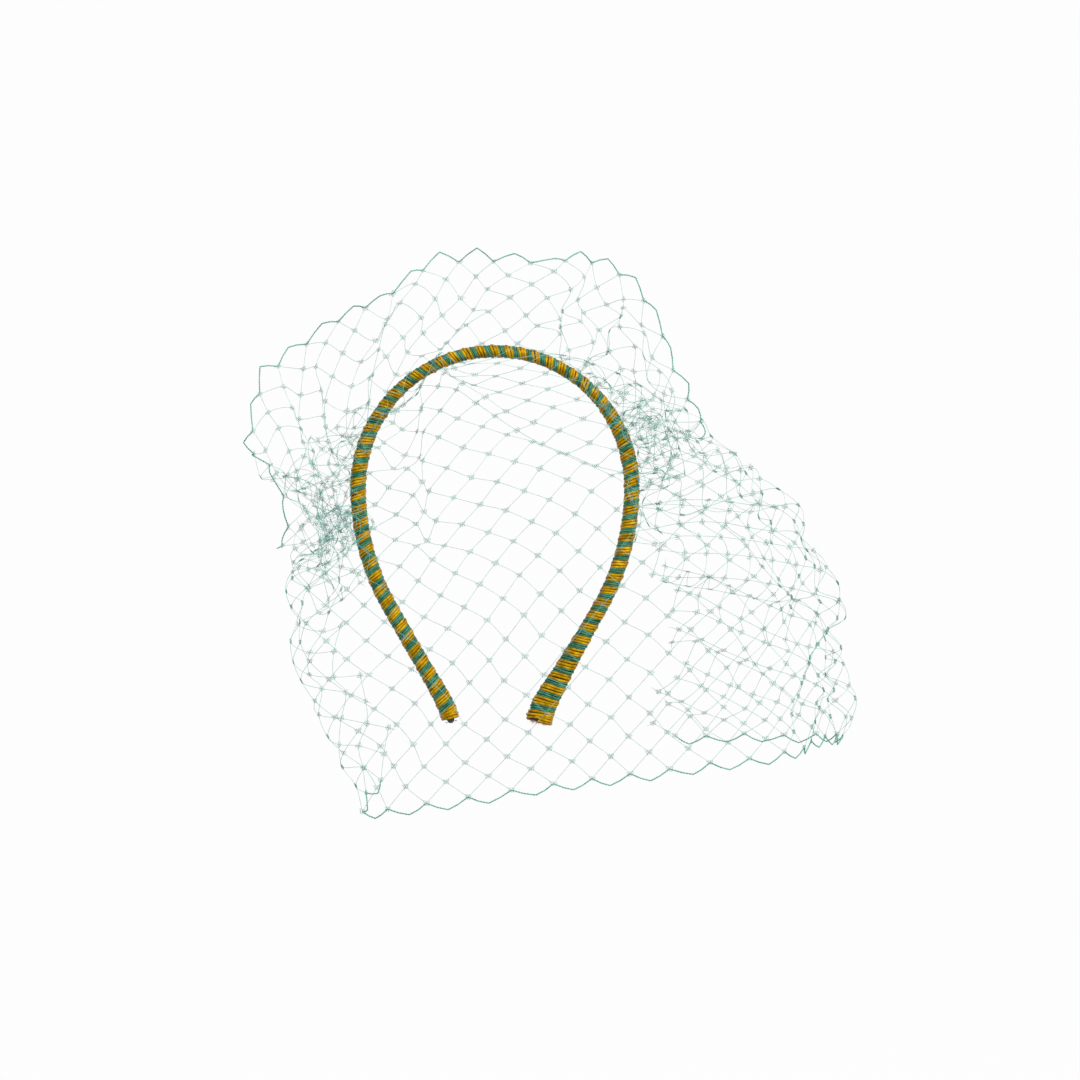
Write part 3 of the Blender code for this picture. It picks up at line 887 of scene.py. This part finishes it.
def smooth_waves(values, random, size, count=6):
    """A smooth random line about 1 high over these values, in waves of about this size."""
    total = np.zeros_like(values)
    for _ in range(count):
        total += np.sin(2 * math.pi * values / (size * random.uniform(0.6, 1.8)) + random.uniform(0, 6.28))
    return total / math.sqrt(count)


def floss_strands(offset, floss_run, floss, random):
    """One floss laid round the band: its strands side by side, the middle ones higher. The closing
    turns lie on each other at both tips, the right ones a little further out."""
    strands, half_width, half_height, crest, closing = floss
    pitch = GOLD_RUN + TEAL_RUN
    start = -HALF_BAND + CORE_SHOW + offset
    turns = (2 * (HALF_BAND - CORE_SHOW) - 2 * offset) / pitch
    steps = 26
    angle = 2 * math.pi * (np.arange(int((turns + 2 * closing) * steps) + 1) / steps - closing)
    base_run = start + pitch * np.clip(angle / (2 * math.pi), 0, turns + 0.25 * closing)
    thin, full = CROWN_THINNING_RUNS
    tubes = []
    for strand in range(strands):
        share = 2 * (strand + 0.5) / strands - 1
        slide = share * strands / (strands - 1) * (floss_run / 2 - half_width * 0.8)
        slide = slide + 0.12 * MM * smooth_waves(angle, random, 5.0)
        lift = (crest - 0.42 * abs(share) ** 2) * (BAND_THICKNESS - SEAT_THICKNESS) / 2 - half_height
        lift = lift + 0.10 * MM * smooth_waves(angle, random, 7.0)
        runs = base_run + slide
        lift = lift - CROWN_THINNING * smooth_step((full - np.abs(runs)) / (full - thin))
        for end, padding in ((1, RIGHT_TIP_PADDING), (-1, LEFT_TIP_PADDING)):
            near_tip = (end * runs - HALF_BAND + TIP_PADDING_RUN) / TIP_PADDING_RUN
            lift = lift + padding * smooth_step(near_tip)
        centres, outwards, _, depths = band_places(runs)
        cosine, sine = np.cos(angle)[:, None], -np.sin(angle)[:, None]
        rise = (SEAT_THICKNESS / 2 + lift)[:, None]
        reach = (SEAT_WIDTH / 2 + lift)[:, None]
        round_up = 1 + 0.06 * np.abs(np.sin(2 * angle))[:, None]
        points = centres + (outwards * rise * cosine + depths * reach * sine) * round_up
        up = outwards * cosine * reach + depths * sine * rise
        up /= np.linalg.norm(up, axis=1, keepdims=True)
        tangents = np.gradient(points, axis=0)
        tangents /= np.linalg.norm(tangents, axis=1, keepdims=True)
        up -= tangents * (up * tangents).sum(1, keepdims=True)
        up /= np.linalg.norm(up, axis=1, keepdims=True)
        side = np.cross(tangents, up)
        swell = 1 + 0.10 * smooth_waves(angle, random, 3.0)[:, None, None]
        turned = 2 * math.pi * np.arange(6) / 6
        ring = side[:, None] * (half_width * np.cos(turned))[None, :, None] * swell
        ring = ring + up[:, None] * (half_height * np.sin(turned))[None, :, None] * swell
        rings = points[:, None] + ring
        lengths = np.concatenate(([0], np.cumsum(np.linalg.norm(np.diff(points, axis=0), axis=1))))
        # The second texture place is 1 on a strand's top and 0.5 on its sides; the floss material paints
        # shade on the sides from it.
        maps = np.stack(np.broadcast_arrays(lengths[:, None], (1 + np.sin(turned)) / 2), -1)
        tubes.append((rings.reshape(-1, 3), tube_faces(len(points), 6), maps.reshape(-1, 2)))
    return tubes


def tip_fibres(run, random, spread, count, longest):
    """Loose fibre ends standing out of a floss where it is cut at a tip."""
    centre, outward, along, depth = band_place(run)
    away = along if run >= 0 else -along
    tubes = []
    for _ in range(count):
        turn = random.uniform(0, 2 * math.pi)
        rim = outward * math.cos(turn) * BAND_THICKNESS * 0.42 + depth * math.sin(turn) * BAND_WIDTH * 0.42
        way = away * random.uniform(0.2, 1.0) + rim / np.linalg.norm(rim) * random.uniform(-0.2, 0.9)
        way = way + random.normal(size=3) * spread
        way = way / np.linalg.norm(way)
        bend = random.normal(size=3) * 0.4
        length = random.uniform(0.3, 1.0) * longest
        points = [centre + rim * random.uniform(0.6, 1.0) + way * length * t + bend * length * t * t * 0.5
                  for t in (0.0, 0.35, 0.7, 1.0)]
        tubes.append(tube(np.array(points), 0.05 * MM, 3))
    return tubes


def make_object():
    """The net, the flosses and the loose fibres at the tips, in place of the part's plain solids."""
    random = np.random.default_rng(SEED)
    net = thread_material("net_thread", colour(90, 166, 148), colour(140, 204, 188), 0.5, 3000.0)
    knotted = thread_material("net_knot", colour(34, 138, 120), colour(86, 182, 164), 0.5, 3000.0)
    cord = thread_material("net_edge", colour(66, 148, 130), colour(116, 186, 168), 0.5, 1500.0)
    # The flosses' dark colours are also their painted shade on the sides of the strands.
    gold = floss_material("gold_satin", colour(84, 54, 0), colour(166, 124, 8), colour(222, 176, 30), 0.3)
    teal = floss_material("teal_satin", colour(22, 58, 44), colour(60, 116, 90), colour(96, 158, 128), 0.4)
    brown = fibre_material("brown_fibre", colour(190, 142, 118), colour(232, 198, 178), 0.8)
    dark = fibre_material("dark_fibre", colour(46, 54, 44), colour(92, 100, 82), 0.85)
    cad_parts["band_core"].data.materials.clear()
    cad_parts["band_core"].data.materials.append(dark)

    index, at, across = net_lattice()
    places = settle_net(index, at, across)
    threads = make_piece("net_threads", *join_tubes(net_threads(index, places, random)), net, "netting")
    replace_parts(threads, "veil")
    knots = net_knots(places, knot_frames(index, places), random)
    make_piece("net_knots", *join_tubes(knots), knotted, "netting")
    for name, row in (("hem_edge", 0), ("frill_edge", HALF_ROWS)):
        path = edge_path(index, places, row, random)
        plies = twisted_plies(path, ply_count=2, ply_radius=0.19 * MM, lay_radius=0.14 * MM,
                              twist_length=2.4 * MM, step=0.45 * MM)
        make_piece(name, *join_tubes(plies), cord, "netting")

    strands = floss_strands(GOLD_RUN / 2, GOLD_RUN, GOLD_FLOSS, random)
    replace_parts(make_piece("gold_strands", *join_tubes(strands), gold, "gold_floss"), "gold_winding")
    strands = floss_strands(GOLD_RUN + TEAL_RUN / 2, TEAL_RUN, TEAL_FLOSS, random)
    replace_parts(make_piece("teal_strands", *join_tubes(strands), teal, "teal_floss"), "teal_winding")
    tip = HALF_BAND - 1.0 * MM
    fibres = tip_fibres(tip, random, spread=0.15, count=160, longest=1.7 * MM)
    make_piece("right_tip_fibres", *join_tubes(fibres), brown, "core")
    fibres = tip_fibres(-tip, random, spread=0.1, count=24, longest=0.9 * MM)
    make_piece("left_tip_fibres", *join_tubes(fibres), dark, "core")


# Camera, floor and light

def make_camera():
    camera = bpy.data.cameras.new("camera")
    camera.sensor_width = SENSOR
    camera.lens = SENSOR * CAMERA_DISTANCE / FRAME_WIDTH
    camera.clip_start, camera.clip_end = 0.01, 50.0
    holder = bpy.data.objects.new("camera", camera)
    holder.location = (AIM_X, -CAMERA_DISTANCE, AIM_Z)
    holder.rotation_euler = (math.radians(90), 0.0, 0.0)
    bpy.context.scene.collection.objects.link(holder)
    bpy.context.scene.camera = holder


def make_floor():
    """A seamless pale floor that sweeps up far behind, all round."""
    rings, sides = 40, 64
    points = []
    for ring in range(rings):
        share = ring / (rings - 1)
        radius = FLOOR_RADIUS * share
        rise = FLOOR_SWEEP * max(share - FLOOR_FLAT_SHARE, 0.0) ** 2
        for side in range(sides):
            turn = 2 * math.pi * side / sides
            points.append((radius * math.cos(turn), radius * math.sin(turn), FLOOR_HEIGHT + rise))
    faces = tube_faces(rings, sides)
    mesh = bpy.data.meshes.new("floor")
    mesh.from_pydata(points, [], faces.tolist())
    mesh.polygons.foreach_set("use_smooth", np.full(len(mesh.polygons), True))
    material = bpy.data.materials.new("pale_floor")
    material.use_nodes = True
    shader = material.node_tree.nodes["Principled BSDF"]
    shader.inputs["Base Color"].default_value = (0.02, 0.02, 0.02, 1.0)
    shader.inputs["Roughness"].default_value = 1.0
    shader.inputs["Specular IOR Level"].default_value = 0.0
    shader.inputs["Emission Color"].default_value = (1.0, 1.0, 1.0, 1.0)
    shader.inputs["Emission Strength"].default_value = FLOOR_GLOW
    mesh.materials.append(material)
    floor = bpy.data.objects.new("floor", mesh)
    bpy.context.scene.collection.objects.link(floor)
    floor.visible_diffuse = False
    floor.visible_glossy = False


def make_light(name, place, size, power):
    """A round lamp that shines at the part's middle."""
    light = bpy.data.lights.new(name, "AREA")
    light.shape = "DISK"
    light.size = size
    light.energy = power
    holder = bpy.data.objects.new(name, light)
    holder.location = place
    holder.rotation_mode = "QUATERNION"
    holder.rotation_quaternion = (LIGHT_AIM - Vector(place)).to_track_quat("-Z", "Y")
    bpy.context.scene.collection.objects.link(holder)


def make_surroundings():
    world = bpy.data.worlds.new("studio")
    world.use_nodes = True
    background = world.node_tree.nodes["Background"]
    background.inputs["Color"].default_value = (1.0, 1.0, 1.0, 1.0)
    background.inputs["Strength"].default_value = 0.5
    bpy.context.scene.world = world
    bpy.context.scene.view_settings.view_transform = "Standard"
    make_light("key", (0.9, -0.8, 0.55), 0.3, 16.0)
    make_light("fill", (-0.8, -0.9, 0.3), 0.8, 6.0)


make_camera()
make_floor()
make_surroundings()
make_object()
